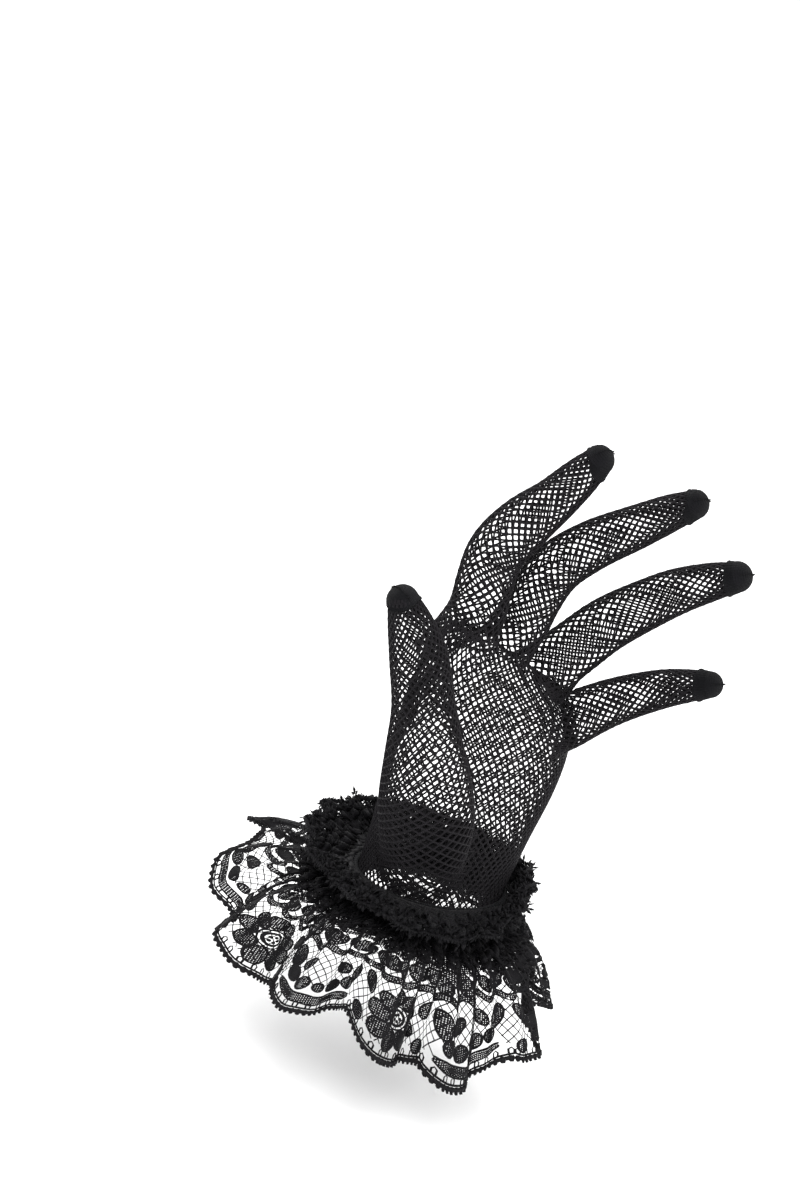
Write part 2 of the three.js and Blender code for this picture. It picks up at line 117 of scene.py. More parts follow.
# Pleats: share of the depth over which they grow, how they fade, lean and drift from there on
GATHERED_DEPTH = 0.08
PLEAT_FADE = 0.8
PLEAT_LEAN = 2
PLEAT_DRIFT = 1.3
PLEAT_WAVES = 5

# Depths of the stitching where the lace is gathered; of the close rows below it, first depth, pitch and the
# depth down to which they are solid cord
GATHER_ROWS = (0.0, 0.6, 2.6)
CLOSE_START = 1.6
CLOSE_PITCH = 1.9
CLOSE_DEPTH = 7

# Half thickness of clothwork bands and ovals; half width and half thickness of an oval's cord and of the
# ground net's threads; step down a thread and how far it leans
BAND_HALF = 0.16
OVAL_HALF = 0.14
OUTLINE_CORD = (0.34, 0.3)
GROUND_THREAD = (0.15, 0.13)
GROUND_STEP = 2.2
GROUND_LEAN = 0.62

# Elastic band: its section as reach outside the wrist and height, its shift along X, and its pleats
BAND_PROFILE = [(0.5, -4.7), (1.7, -4.6), (2.3, -2.2), (2.0, -0.8), (2.4, 0.6), (2.2, 2.0), (1.7, 3.4),
                (0.6, 3.4), (0.5, 1.0), (0.5, -2.0)]
BAND_SHIFT_X = 0.3
BAND_PLEATS = 90
BAND_PLEAT = 0.42

# Ruches: crumpled strips, by depth down the frill, waves round the wrist and how far they stand off it, their
# half width, and the depth and number of the pointed ends
HEADING_STRIPS = [(2.5, 74, 1.3), (5.0, 88, 1.5), (7.6, 79, 1.6), (10.2, 93, 1.4), (12.2, 84, 1.1)]
FLOUNCE_STRIPS = [(1.8, 81, 0.9), (4.0, 70, 1.1), (6.4, 86, 1.0), (8.8, 77, 0.7)]
STRIP_HALF = 1.5
HEADING_ENDS = (15, 2600)
FLOUNCE_ENDS = (10, 1500)

# Nail's side of each digit, as a turn round it; how much shorter the knitted tip is there, and how fast that
# fades round the digit; rows of net on the round end that the tip leaves open
NAIL_TURN = {"thumb": -0.28 * math.pi, "index": 0.55 * math.pi, "middle": 0.55 * math.pi,
             "ring": 0.5 * math.pi, "little": 0.5 * math.pi}
NAIL_OPENING = {"thumb": 6.8, "index": 6.9, "middle": 6.6, "ring": 1.6, "little": 1.2}
NAIL_FADE = 1.2
DOME_ROWS = 4

# Skin guide: its voxels and rounds of smoothing. Rays look for it from inside, out to a share of the
# section's size and a few millimetres more; the palm's start at a share of its half width
SKIN_VOXEL = 1.3
SKIN_SMOOTHING = 14
DIGIT_RAY = (1.28, 0.6)
PALM_RAY = (1.22, 1.2)
PALM_RAY_START = 0.6

# Net: longest strand against the median; knots across and along against the yarn, and the way they are drawn
# out; the palm's yarn against the digits'; heights that the palm's net spans, and the digits' lowest; how far
# outside the palm a digit's node needs no skin under it; and how far the net stays off a digit's end
LONGEST_STRAND = 3.2
KNOT_SIZE = 1.2
KNOT_LONG = 2.1
KNOT_LEAN = np.array([0, -0.15, 1.0])
PALM_YARN = 0.94
PALM_NET_SPAN = (-3.6, 84)
DIGIT_NET_LOW = -1.5
PALM_MARGIN = 0.2
END_MARGIN = 0.6

# How far the net runs on under a knitted tip, on the digit and on its round end; depth and steepest angle of
# the net on the round end; how far the tip stands off the digit
CAP_OVERLAP = 1.4
DOME_OVERLAP = 1.2
DOME_SINK = 0.98
DOME_STEEPEST = 1.4
CAP_PROUD = 0.3

# Camera: the middle of the photograph's frame, and how it looks at the glove
VIEW_CENTRE = (-5.04, 44.36, 75.87)
VIEW_AZIMUTH = math.radians(-50)
VIEW_ELEVATION = math.radians(18)
VIEW_ROLL = math.radians(20)
VIEW_DISTANCE = 1500
PIXELS_PER_MM = 3.25
PHOTO_HEIGHT = 1200
SENSOR = 36
CLIP = (0.05, 50)

# Floor and lights, in metres: name, place, size and power, all turned to one spot
FLOOR_HALF = 12.0
LIGHTS = [("key_light", (-0.9, -0.5, 1.3), 1.2, 26), ("fill_light", (0.8, -1.1, 0.7), 1.4, 12),
          ("back_light", (0.5, 1.0, 1.1), 1.2, 16)]
LIGHT_AIM = (0, 0, 0.05)
SKY_STRENGTH = 0.9


def curve(a, b, c, d, t):
    """Smooth value between b and c, whose neighbours are a and d"""
    return 0.5 * (2 * b + (c - a) * t + (2 * a - 5 * b + 4 * c - d) * t**2 + (3 * b - a - 3 * c + d) * t**3)


def through_rows(rows, row):
    """Smooth value through table rows at fractional rows"""
    rows = np.asarray(rows, float)
    last = len(rows) - 1
    row = np.atleast_1d(np.asarray(row, float))
    i = np.clip(np.floor(row).astype(int), 0, last - 1)
    t = (row - i)[:, None]
    return curve(*(rows[np.clip(i + k, 0, last)] for k in (-1, 0, 1, 2)), t)


def round_table(rows, degrees):
    """Smooth reach and rise round a closed table of angles"""
    rows = np.asarray(rows, float)
    count = len(rows)
    turned = np.mod(degrees, 360)
    i = np.searchsorted(rows[:, 0], turned, side="right") - 1
    following = rows[(i + 1) % count, 0] + np.where(i + 1 == count, 360, 0)
    t = ((turned - rows[i, 0]) / (following - rows[i, 0]))[:, None]
    return curve(*(rows[(i + k) % count, 1:] for k in (-1, 0, 1, 2)), t)


def unit(vectors):
    return vectors / np.maximum(np.linalg.norm(vectors, axis=-1, keepdims=True), 1e-9)


def linked(name, data):
    """New object in the scene"""
    made = bpy.data.objects.new(name, data)
    bpy.context.scene.collection.objects.link(made)
    return made


class Cloth:
    """Collects points, faces and flat coordinates, and makes one mesh of them"""

    def __init__(self):
        self.points, self.faces, self.flat, self.slots, self.count = [], [], [], [], 0

    def add(self, points, faces, flat=None, slot=0):
        points = np.asarray(points, float).reshape(-1, 3)
        flat = np.zeros((len(points), 2)) if flat is None else np.asarray(flat, float).reshape(-1, 2)
        self.points.append(points)
        self.flat.append(flat)
        self.faces += [[corner + self.count for corner in face] for face in faces]
        self.slots += [slot] * len(faces)
        self.count += len(points)

    def mesh(self, name):
        mesh = bpy.data.meshes.new(name)
        mesh.from_pydata((np.concatenate(self.points) * MM).tolist(), [], self.faces)
        return mesh

    def make(self, name, materials, replaced):
        """Piece of the glove with its materials, slot and the solids that it replaces"""
        mesh = self.mesh(name)
        layer = mesh.uv_layers.new(name="flat")
        corners = np.empty(len(mesh.loops), int)
        mesh.loops.foreach_get("vertex_index", corners)
        flat = np.concatenate(self.flat)[corners] * FLAT_SCALE
        layer.data.foreach_set("uv", flat.astype(np.float32).ravel())
        mesh.polygons.foreach_set("material_index", self.slots)
        mesh.polygons.foreach_set("use_smooth", [True] * len(mesh.polygons))
        for material in materials:
            mesh.materials.append(material)
        piece = linked(name, mesh)
        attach(piece, "root")
        if replaced:
            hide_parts(*replaced)
        return piece


def tube_faces(rings, sides):
    """Faces of a tube over consecutive rings of points"""
    faces = []
    for r in range(rings - 1):
        for s in range(sides):
            n = (s + 1) % sides
            faces.append((r * sides + s, r * sides + n, (r + 1) * sides + n, (r + 1) * sides + s))
    return faces


# Skin that the yarn lies on

def palm_points(row, turn, share_x=1.0, share_y=1.0):
    """Points of the palm's sections, or at shares of their half sizes"""
    z, x, y, half_x, half_y, tilt, corner = through_rows(PALM, row).T

    def squared(value):
        return np.sign(value) * np.abs(value) ** corner

    dx = half_x * squared(np.cos(turn)) * share_x
    dy = half_y * squared(np.sin(turn)) * share_y
    return np.stack([x + dx, y + dy, z - tilt * dx], axis=1)


def digit_frames(name, row):
    """Place, directions along, across and square to both, and half thickness of a digit at rows"""
    rows = np.array(DIGITS[name], float)
    last = len(rows) - 1
    row = np.atleast_1d(np.asarray(row, float))
    place = through_rows(rows, row)
    before = through_rows(rows, np.maximum(row - 0.05, 0))
    after = through_rows(rows, np.minimum(row + 0.05, last))
    along = unit((after - before)[:, :3])
    normal = unit(np.cross(along, np.array(DIGIT_ACROSS[name], float)))
    across = np.cross(normal, along)
    return place[:, :3], along, across, normal, place[:, 3]


def digit_frame(name, row):
    """Frame of a digit at one row"""
    return (values[0] for values in digit_frames(name, row))


def spoke(across, normal, turn):
    """Direction out of a digit at a turn round it"""
    return across * np.cos(turn)[:, None] + normal * np.sin(turn)[:, None]


def loft_mesh(rings):
    """Points and faces of a closed loft through rings"""
    sides = len(rings[0])
    points = np.concatenate(rings)
    faces = tube_faces(len(rings), sides)
    faces.append(tuple(range(sides))[::-1])
    faces.append(tuple(range(len(points) - sides, len(points))))
    return points, faces


def hand_skin():
    """Smooth closed skin of the hand inside the glove, used only to lay the yarn on"""
    guide = Cloth()
    sides = 48
    turn = np.linspace(0, 2 * math.pi, sides, endpoint=False)
    rings = [palm_points(np.full(sides, row), turn) for row in np.linspace(0, len(PALM) - 1, 28)]
    guide.add(*loft_mesh(rings))
    for name, rows in DIGITS.items():
        last = len(rows) - 1
        rings = [digit_ring(name, row, 0, 1) for row in np.linspace(0, last, 40)]
        for angle in np.linspace(0, 0.5 * math.pi, 7)[1:-1]:
            rings.append(digit_ring(name, last, math.sin(angle), math.cos(angle)))
        guide.add(*loft_mesh(rings))
    mesh = guide.mesh("skin_guide")
    skin = linked("skin_guide", mesh)
    remesh = skin.modifiers.new("join", "REMESH")
    remesh.mode = "VOXEL"
    remesh.voxel_size = SKIN_VOXEL * MM
    smooth = skin.modifiers.new("soften", "SMOOTH")
    smooth.factor = 0.5
    smooth.iterations = SKIN_SMOOTHING
    graph = bpy.context.evaluated_depsgraph_get()
    tree = BVHTree.FromObject(skin, graph)
    bpy.data.objects.remove(skin)
    bpy.data.meshes.remove(mesh)
    return tree


def digit_ring(name, row, lift, share):
    """Ring round a digit, lifted along it and drawn in by shares of its half thickness"""
    place, along, across, normal, half = digit_frame(name, row)
    turn = np.linspace(0, 2 * math.pi, 24, endpoint=False)
    return place + along * half * lift + half * share * spoke(across, normal, turn)


def arc_table(name):
    """Fractional rows of a digit and the length along it at each"""
    rows = np.linspace(0, len(DIGITS[name]) - 1, 400)
    places = digit_frames(name, rows)[0]
    return rows, np.concatenate([[0], np.cumsum(np.linalg.norm(np.diff(places, axis=0), axis=1))])


def arc_rows(name, spacing, end_length):
    """Fractional rows at even steps along a digit, stopping before its tip"""
    rows, steps = arc_table(name)
    stop = steps[-1] - end_length
    count = int(stop / spacing)
    marks = stop - spacing * np.arange(count, -1, -1)
    return np.interp(marks, steps, rows)


SKIN = {}


def skin_hits(origins, directions, reach):
    """Where rays from inside the hand leave it: points and normals, and which rays leave within reach"""
    tree = SKIN["tree"]
    hits = np.zeros((len(origins), 3))
    normals = np.zeros((len(origins), 3))
    good = np.zeros(len(origins), bool)
    for k, (origin, direction, far) in enumerate(zip(origins, directions, reach)):
        place, normal, _, _ = tree.ray_cast(Vector(origin * MM), Vector(direction), far * MM)
        if place is not None:
            hits[k] = np.array(place) / MM
            normals[k] = normal if normal.dot(Vector(direction)) > 0 else -normal
            good[k] = True
    return hits, normals, good


def net_nodes(rows, around, first=0):
    """Row and turn of each node of a net, every second row half a cell further round"""
    j = np.repeat(np.arange(rows), around)
    return j, 2 * math.pi * (np.tile(np.arange(around), rows) + 0.5 * ((j + first) % 2)) / around


def net_on_skin(cloth, nodes, normals, good, around, rows, yarn):
    """Yarn of a diamond net: a strand from each node to its two upper neighbours, and a knot at each node"""
    index = np.arange(rows * around).reshape(rows, around)
    pairs = []
    for j in range(rows - 1):
        shift = j % 2
        pairs.append(np.stack([index[j], np.roll(index[j + 1], -shift)], 1))
        pairs.append(np.stack([index[j], np.roll(index[j + 1], 1 - shift)], 1))
    pairs = np.concatenate(pairs)
    pairs = pairs[good[pairs[:, 0]] & good[pairs[:, 1]]]
    start, end = nodes[pairs[:, 0]], nodes[pairs[:, 1]]
    lengths = np.linalg.norm(end - start, axis=1)
    keep = lengths < LONGEST_STRAND * np.median(lengths)
    pairs, start, end = pairs[keep], start[keep], end[keep]
    along = unit(end - start)
    out = unit(normals[pairs[:, 0]] + normals[pairs[:, 1]])
    side = unit(np.cross(along, out))
    out = np.cross(side, along)
    sides = 5
    turn = np.linspace(0, 2 * math.pi, sides, endpoint=False)
    ring = yarn * (side[:, None] * np.cos(turn)[None, :, None] + out[:, None] * np.sin(turn)[None, :, None])
    points = np.concatenate([start[:, None] + ring, end[:, None] + ring], axis=1)
    local = np.array(tube_faces(2, sides))
    faces = (local[None] + (np.arange(len(start)) * 2 * sides)[:, None, None]).reshape(-1, 4).tolist()
    flat = np.stack([np.arange(len(start)) * 0.37, np.linalg.norm(start, axis=1)], 1)
    cloth.add(points, faces, np.repeat(flat, 2 * sides, axis=0))
    used = np.unique(pairs)
    knots_at(cloth, nodes[used], normals[used], yarn * KNOT_SIZE)


def knots_at(cloth, places, normals, size):
    """Small round knots of twenty faces each, drawn out along the glove"""
    golden = (1 + 5**0.5) / 2
    corners = unit(np.array([
        (-1, golden, 0), (1, golden, 0), (-1, -golden, 0), (1, -golden, 0), (0, -1, golden), (0, 1, golden),
        (0, -1, -golden), (0, 1, -golden), (golden, 0, -1), (golden, 0, 1), (-golden, 0, -1), (-golden, 0, 1),
    ]))
    faces = np.array([
        (0, 11, 5), (0, 5, 1), (0, 1, 7), (0, 7, 10), (0, 10, 11), (1, 5, 9), (5, 11, 4), (11, 10, 2),
        (10, 7, 6), (7, 1, 8), (3, 9, 4), (3, 4, 2), (3, 2, 6), (3, 6, 8), (3, 8, 9), (4, 9, 5),
        (2, 4, 11), (6, 2, 10), (8, 6, 7), (9, 8, 1),
    ])
    up = unit(KNOT_LEAN - normals * (normals @ KNOT_LEAN)[:, None])
    side = np.cross(up, normals)
    x, y, z = (corners * size).T[:, None, :, None]
    points = places[:, None] + side[:, None] * x + up[:, None] * y * KNOT_LONG + normals[:, None] * z
    all_faces = (faces[None] + (np.arange(len(places)) * len(corners))[:, None, None]).reshape(-1, 3).tolist()
    cloth.add(points, all_faces)


def beyond_digit(name, points):
    """Distance of points outside a digit's tube"""
    rows = np.linspace(0, len(DIGITS[name]) - 1, 90)
    place, _, _, _, half = digit_frames(name, rows)
    return (np.linalg.norm(points[:, None] - place[None], axis=2) - half[None]).min(axis=1)


def beyond_palm(points):
    """Distance of points outside the palm's sections"""
    fine = np.linspace(0, len(PALM) - 1, 200)
    table = through_rows(PALM, fine)
    height = points[:, 2].copy()
    for _ in range(3):
        row = through_rows(table[:, 1:], np.interp(height, table[:, 0], np.arange(200.0)))
        height = points[:, 2] + row[:, 4] * (points[:, 0] - row[:, 0])
    dx, dy = np.abs(points[:, 0] - row[:, 0]), np.abs(points[:, 1] - row[:, 1])
    power = 2 / row[:, 5]
    share = ((dx / row[:, 2]) ** power + (dy / row[:, 3]) ** power) ** (1 / power)
    return np.maximum(np.hypot(dx, dy) * (1 - 1 / np.maximum(share, 0.05)), height - table[-1, 0])


def widened(good, around):
    """Nodes that are good or next to a good one in the lattice"""
    lattice = good.reshape(-1, around)
    wide = lattice | np.roll(lattice, 1, 1) | np.roll(lattice, -1, 1)
    for j in range(len(lattice)):
        for other in (j - 1, j + 1):
            if 0 <= other < len(lattice):
                step = 1 if other % 2 else -1
                wide[j] |= lattice[other] | np.roll(lattice[other], step)
    return wide.ravel()


def cap_length(name, turn):
    """Length of the close-knit tip, shorter on the nail's side"""
    return TIP_LENGTH - NAIL_OPENING[name] * (0.5 + 0.5 * np.cos(turn - NAIL_TURN[name])) ** NAIL_FADE


def rows_before_end(name, length):
    """Fractional rows at lengths before the digit's round end is complete"""
    rows, steps = arc_table(name)
    return np.interp(steps[-1] + DIGITS[name][-1][3] - np.asarray(length), steps, rows)


def dome_angle(name, length):
    """Angle up a digit's round end at which the length is left below its top"""
    return np.arcsin(np.clip(1 - np.asarray(length) / DIGITS[name][-1][3], 0, 0.95))


def dome_net(name, spacing, around, rows_below):
    """Net nodes on the nail's side of a digit's round end, where the knitted tip leaves it open"""
    place, along, across, normal, half = digit_frame(name, len(DIGITS[name]) - 1)
    j, turn = net_nodes(DOME_ROWS, around, rows_below)
    angle = np.minimum((j + 1) * spacing / half, DOME_STEEPEST)
    out = spoke(across, normal, turn) * np.cos(angle)[:, None] + along * np.sin(angle)[:, None]
    good = angle < dome_angle(name, cap_length(name, turn) - DOME_OVERLAP)
    return place + out * half * DOME_SINK, out, good


def digit_net(name, settings):
    around = settings.digit_cells if name != "thumb" else settings.thumb_cells
    spacing = settings.cell_height / MM * 0.5
    end_half = DIGITS[name][-1][3]
    rows = arc_rows(name, spacing, max(TIP_LENGTH - NAIL_OPENING[name] - end_half - END_MARGIN, 0.0))
    place, along, across, normal, half = digit_frames(name, rows)
    j, turn = net_nodes(len(rows), around)
    direction = spoke(across[j], normal[j], turn)
    hits, normals, good = skin_hits(place[j], direction, half[j] * DIGIT_RAY[0] + DIGIT_RAY[1])
    own = place[j] + direction * half[j][:, None]
    hits[~good] = own[~good]
    normals[~good] = direction[~good]
    good |= beyond_palm(own) > PALM_MARGIN
    good &= hits[:, 2] > DIGIT_NET_LOW
    good &= widened(beyond_digit(name, hits) < beyond_palm(hits), around)
    good &= rows[j] <= rows_before_end(name, cap_length(name, turn) - CAP_OVERLAP)
    dome = dome_net(name, spacing, around, len(rows))
    hits, normals, good = (np.concatenate(pair) for pair in zip((hits, normals, good), dome))
    cloth = Cloth()
    net_on_skin(cloth, hits, normals, good, around, len(rows) + DOME_ROWS, settings.yarn / MM)
    return cloth.make(f"{name}_yarn", [yarn_material()], [f"{name}_net"])


def palm_net(settings):
    around = settings.palm_cells
    spacing = settings.cell_height / MM * 0.5
    fine = np.linspace(0, len(PALM) - 1, 400)
    rows = np.interp(np.arange(*PALM_NET_SPAN, spacing), through_rows(PALM, fine)[:, 0], fine)
    j, turn = net_nodes(len(rows), around)
    outside = palm_points(rows[j], turn)
    inside = palm_points(rows[j], turn, PALM_RAY_START, 0.0)
    direction = unit(outside - inside)
    far = np.linalg.norm(outside - inside, axis=1)
    hits, normals, good = skin_hits(inside, direction, far * PALM_RAY[0] + PALM_RAY[1])
    own = beyond_palm(hits)
    for name in DIGITS:
        good &= widened(own < beyond_digit(name, hits), around)
    cloth = Cloth()
    net_on_skin(cloth, hits, normals, good, around, len(rows), settings.yarn / MM * PALM_YARN)
    return cloth.make("palm_yarn", [yarn_material()], ["palm_net"])


def knitted_tip(name):
    """Knitted fingertip with a rolled lower edge, slanted toward the nail, and a frayed seam over its end"""
    last = len(DIGITS[name]) - 1
    around, courses = 64, 12
    turn = np.linspace(0, 2 * math.pi, around, endpoint=False)
    ribs = np.cos(turn * around / 2)
    first = rows_before_end(name, cap_length(name, turn))
    rings = []
    for k in range(courses):
        rows = first + (last - first) * k / courses
        place, along, across, normal, half = digit_frames(name, rows)
        roll = 0.2 * math.exp(-((k - 1) ** 2) / 1.2)
        radius = (half + CAP_PROUD + 0.1 * ribs + roll)[:, None]
        rings.append(place + radius * spoke(across, normal, turn))
    place, along, across, normal, half = digit_frame(name, last)
    proud_half = half + CAP_PROUD
    out = spoke(across, normal, turn)
    edge = dome_angle(name, cap_length(name, turn))
    for share in np.linspace(0, 1, 10):
        angle = (edge + (0.5 * math.pi - edge) * share)[:, None]
        radius = np.maximum(proud_half * np.cos(angle), 0.05) * (1 + 0.012 * ribs)[:, None]
        rings.append(place + along * proud_half * np.sin(angle) + radius * out)
    inward = [ring + unit(rings[k].mean(axis=0) - ring) * 0.8 for k, ring in enumerate(rings[:3])]
    rings = inward[::-1] + rings
    flat = np.indices((len(rings), around))[::-1].reshape(2, -1).T * 0.8
    cloth = Cloth()
    cloth.add(np.concatenate(rings), tube_faces(len(rings), around), flat)
    cloth.add(rings[-1], [list(range(around))], flat[-around:])
    seam_tufts(cloth, place, along, across, proud_half)
    return cloth.make(f"{name}_knit", [knit_material()], [f"{name}_tip"])


def seam_tufts(cloth, place, along, across, radius):
    """Short yarn ends along the seam over a fingertip"""
    draw = np.random.default_rng(11)
    half = 0.16
    for angle in np.linspace(-1.1, 1.1, 34):
        out = along * math.cos(angle) + across * math.sin(angle)
        root = place + radius * out
        lean = draw.uniform(-0.5, 0.5, 3)
        tip = root + (out + lean) * draw.uniform(0.5, 1.1)
        side = unit(np.cross(out, lean)) * half
        third = unit(np.cross(out, side)) * half
        base = [root + side, root - 0.5 * side + third, root - 0.5 * side - third]
        cloth.add(base + [tip], [(0, 1, 3), (1, 2, 3), (2, 0, 3), (0, 2, 1)])


# Frills

def frill_points(frill, x, y, lift=0.0):
    """Place in the hung frill of flat points: x along the lace, y down from its gather, lift off the cloth"""
    x, y = np.broadcast_arrays(np.asarray(x, float), np.asarray(y, float))
    shape = x.shape
    x, y = x.ravel(), y.ravel()
    middle = frill_middle(frill, x, y)
    small = 0.25
    round_it = frill_middle(frill, x + small, y) - frill_middle(frill, x - small, y)
    down = frill_middle(frill, x, y + small) - frill_middle(frill, x, y - small)
    normal = unit(np.cross(down, round_it))
    lift = np.broadcast_to(np.asarray(lift, float), shape).ravel()[:, None]
    return (middle + normal * lift).reshape(*shape, 3)


def frill_middle(frill, x, y):
    """Middle of the hung cloth at flat points"""
    u = x / LACE_LENGTH
    angle = 2 * math.pi * u
    s = y / frill["deep"]
    start_x = (WRIST_HALF[0] + FRILL_START) * np.cos(angle)
    start_y = (WRIST_HALF[1] + FRILL_START) * np.sin(angle) + WRIST_Y
    start = np.hypot(start_x, start_y)
    table = round_table(frill["edge"], 360 * u)
    fold = frill["fold"] * s * np.sin(frill["folds"] * angle + FOLD_DRIFT * np.sin(DRIFT_WAVES * angle))
    gather = np.clip(s / GATHERED_DEPTH, 0, 1) * (1 - PLEAT_FADE * s)
    phase = frill["pleats"] * angle + PLEAT_DRIFT * np.sin(PLEAT_WAVES * angle) + PLEAT_LEAN * s
    pleat = frill["pleat"] * gather * (1 + np.sin(phase))
    reach = start + (table[:, 0] - start) * np.maximum(s, 0) ** FLARE + fold + pleat
    arch = frill["arch"] * np.sin(math.pi * np.minimum(s, 1))
    rise = frill["start"] + (table[:, 1] - frill["start"]) * s + arch
    twist = FOLD_ROUNDING * (gather * np.cos(frill["pleats"] * angle) - s * np.cos(frill["folds"] * angle))
    turned = angle + twist
    return np.stack([reach * np.cos(turned), reach * np.sin(turned) + WRIST_Y * (1 - s), rise], 1)


def edge_depth(frill, x):
    """Flat depth of the scalloped edge along the lace"""
    lobe = 1 - frill["scallop"] * (1 - np.abs(np.sin(SCALLOPS * math.pi * np.asarray(x) / LACE_LENGTH)))
    return frill["deep"] * lobe


def thread(cloth, frill, path, half, high=None, slot=0, lift=0.0):
    """A cord or band of lozenge section along a flat path"""
    path = np.asarray(path, float)
    high = half if high is None else high
    along = unit(np.gradient(path, axis=0))
    side = np.stack([-along[:, 1], along[:, 0]], 1)
    half = np.broadcast_to(half, len(path))[:, None]
    flats = np.stack([path + side * half, path, path - side * half, path], 1)
    lifts = np.array([0, high, 0, -high]) + np.broadcast_to(lift, len(path))[:, None]
    points = frill_points(frill, flats[..., 0], flats[..., 1], lifts)
    faces = tube_faces(len(path), 4)
    last = 4 * (len(path) - 1)
    faces += [(3, 2, 1, 0), (last, last + 1, last + 2, last + 3)]
    cloth.add(points, faces, flats, slot)


def patch(cloth, frill, middle, radii, turned, slot=1, sectors=14, lift=0.0, outline=True):
    """A filled oval of clothwork with a corded outline"""
    turn = np.linspace(0, 2 * math.pi, sectors, endpoint=False)
    shape = np.stack([radii[0] * np.cos(turn), radii[1] * np.sin(turn)], 1)
    spin = np.array([[math.cos(turned), math.sin(turned)], [-math.sin(turned), math.cos(turned)]])
    shape = shape @ spin
    flats = np.concatenate([[[0, 0]], shape * 0.55, shape]) + np.asarray(middle, float)
    top = frill_points(frill, flats[:, 0], flats[:, 1], OVAL_HALF + lift)
    low = frill_points(frill, flats[:, 0], flats[:, 1], -OVAL_HALF + lift)
    under = len(flats)
    faces = []
    for s in range(sectors):
        n = (s + 1) % sectors
        near, next_near = 1 + s, 1 + n
        rim, next_rim = near + sectors, next_near + sectors
        faces += [(0, near, next_near), (near, rim, next_rim, next_near)]
        faces += [(under, next_near + under, near + under)]
        faces += [(next_near + under, next_rim + under, rim + under, near + under)]
        faces += [(rim, rim + under, next_rim + under, next_rim)]
    cloth.add(np.concatenate([top, low]), faces, np.concatenate([flats, flats]), slot)
    if outline:
        ring = np.concatenate([shape, shape[:2]]) + np.asarray(middle, float)
        thread(cloth, frill, ring, *OUTLINE_CORD, 0, lift)


def ground_net(cloth, frill, spacing, top, bottom):
    """Fine lozenge ground between two depths, which may vary along the lace"""
    for lean in (-1, 1):
        for x0 in np.arange(0, LACE_LENGTH, spacing):
            steps = np.arange(0, frill["deep"], GROUND_STEP)
            x = x0 + lean * steps * GROUND_LEAN
            low = bottom(x)
            keep = (steps >= top) & (steps <= low)
            runs = np.split(np.arange(len(steps)), np.where(np.diff(keep.astype(int)) != 0)[0] + 1)
            for run in runs:
                if keep[run[0]] and len(run) > 2:
                    thread(cloth, frill, np.stack([x[run], steps[run]], 1), *GROUND_THREAD)


def scalloped_border(cloth, frill, width, teeth):
    """Thick edge of bead-like loops with picots outside, a firm cord, and small loops on its inside"""
    for k in range(SCALLOPS):
        x = np.linspace(k * SCALLOP, (k + 1) * SCALLOP, 22)
        edge = edge_depth(frill, x)
        thread(cloth, frill, np.stack([x, edge - width * 0.45], 1), width * 0.3, 0.5)
        thread(cloth, frill, np.stack([x, edge - width], 1), width * 0.15, 0.4)
        marks = np.linspace(k * SCALLOP + 0.7, (k + 1) * SCALLOP - 0.7, teeth)
        depth = edge_depth(frill, marks)
        for m, (at, low) in enumerate(zip(marks, depth)):
            bead = [(at - 0.1, low - width * 0.8), (at, low - width * 0.1), (at + 0.1, low + 0.35)]
            thread(cloth, frill, bead, (0.45, 0.62, 0.35), 0.62)
            if m % 2 == 0:
                loop = [(-0.5, 0), (-0.6, -1.5), (0, -2.2), (0.6, -1.5), (0.5, 0)]
                thread(cloth, frill, np.array(loop) + (at, low - width), 0.24, 0.24)


def corded_band(cloth, frill, x, y, half, cord):
    """Band of clothwork with a cord along each side"""
    thread(cloth, frill, np.stack([x, y], 1), half, BAND_HALF, 1)
    for side in (-1, 1):
        thread(cloth, frill, np.stack([x, y + side * half], 1), cord, cord)


def arc_band(cloth, frill, middle, reach, depth, half, bend):
    """Corded band that runs beside the scallop's edge"""
    a = np.linspace(-reach, reach, 19)
    run = edge_depth(frill, middle + a) - depth - bend * (1 - np.abs(a) / reach) ** 2
    taper = np.interp(np.abs(a), [0, 0.8 * reach, reach], [1, 0.9, 0.35])
    corded_band(cloth, frill, middle + a, run, half * taper, 0.3)


def leaf(cloth, frill, middle, long, wide, turned):
    """Leaf of clothwork, turned from the lace's depth"""
    patch(cloth, frill, middle, (wide, long), turned)


def chevron_scallop(cloth, frill, middle, deep):
    """Arc of clothwork beside the border, ovals inside it, and a fan of open ground between leaves"""
    arc_band(cloth, frill, middle, 13.8, 6.4, 1.7, -1.0)
    for a, depth, wide, long in ((0, 10.9, 1.5, 1.7), (4.9, 12.0, 2.3, 2.6), (9.9, 14.0, 2.2, 2.7)):
        for side in (-1, 1) if a else (1,):
            patch(cloth, frill, (middle + side * a, deep - depth), (wide, long), side * 0.04 * a)
    for side in (-1, 1):
        leaf(cloth, frill, (middle + side * 12.6, deep - 20.5), 4.6, 2.5, side * 0.25)
        leaf(cloth, frill, (middle + side * 6.3, deep - 20.2), 3.2, 1.9, side * -0.6)
    hedge(cloth, frill, middle, deep)


def hedge(cloth, frill, middle, deep):
    """Close row of leaves and a waved band above the scallop's figure"""
    a = np.linspace(-0.5 * SCALLOP, 0.5 * SCALLOP, 33)
    wave = deep - 28.6 + 1.3 * np.cos(a * 2 * math.pi / SCALLOP * 4)
    corded_band(cloth, frill, middle + a, wave, 1.2, 0.28)
    for k in range(6):
        spot = (k - 2.5) * SCALLOP / 6
        leaf(cloth, frill, (middle + spot, deep - 33.4 - 0.8 * (k % 2)), 3.2, 2.4, 0.25 * (k % 3 - 1))


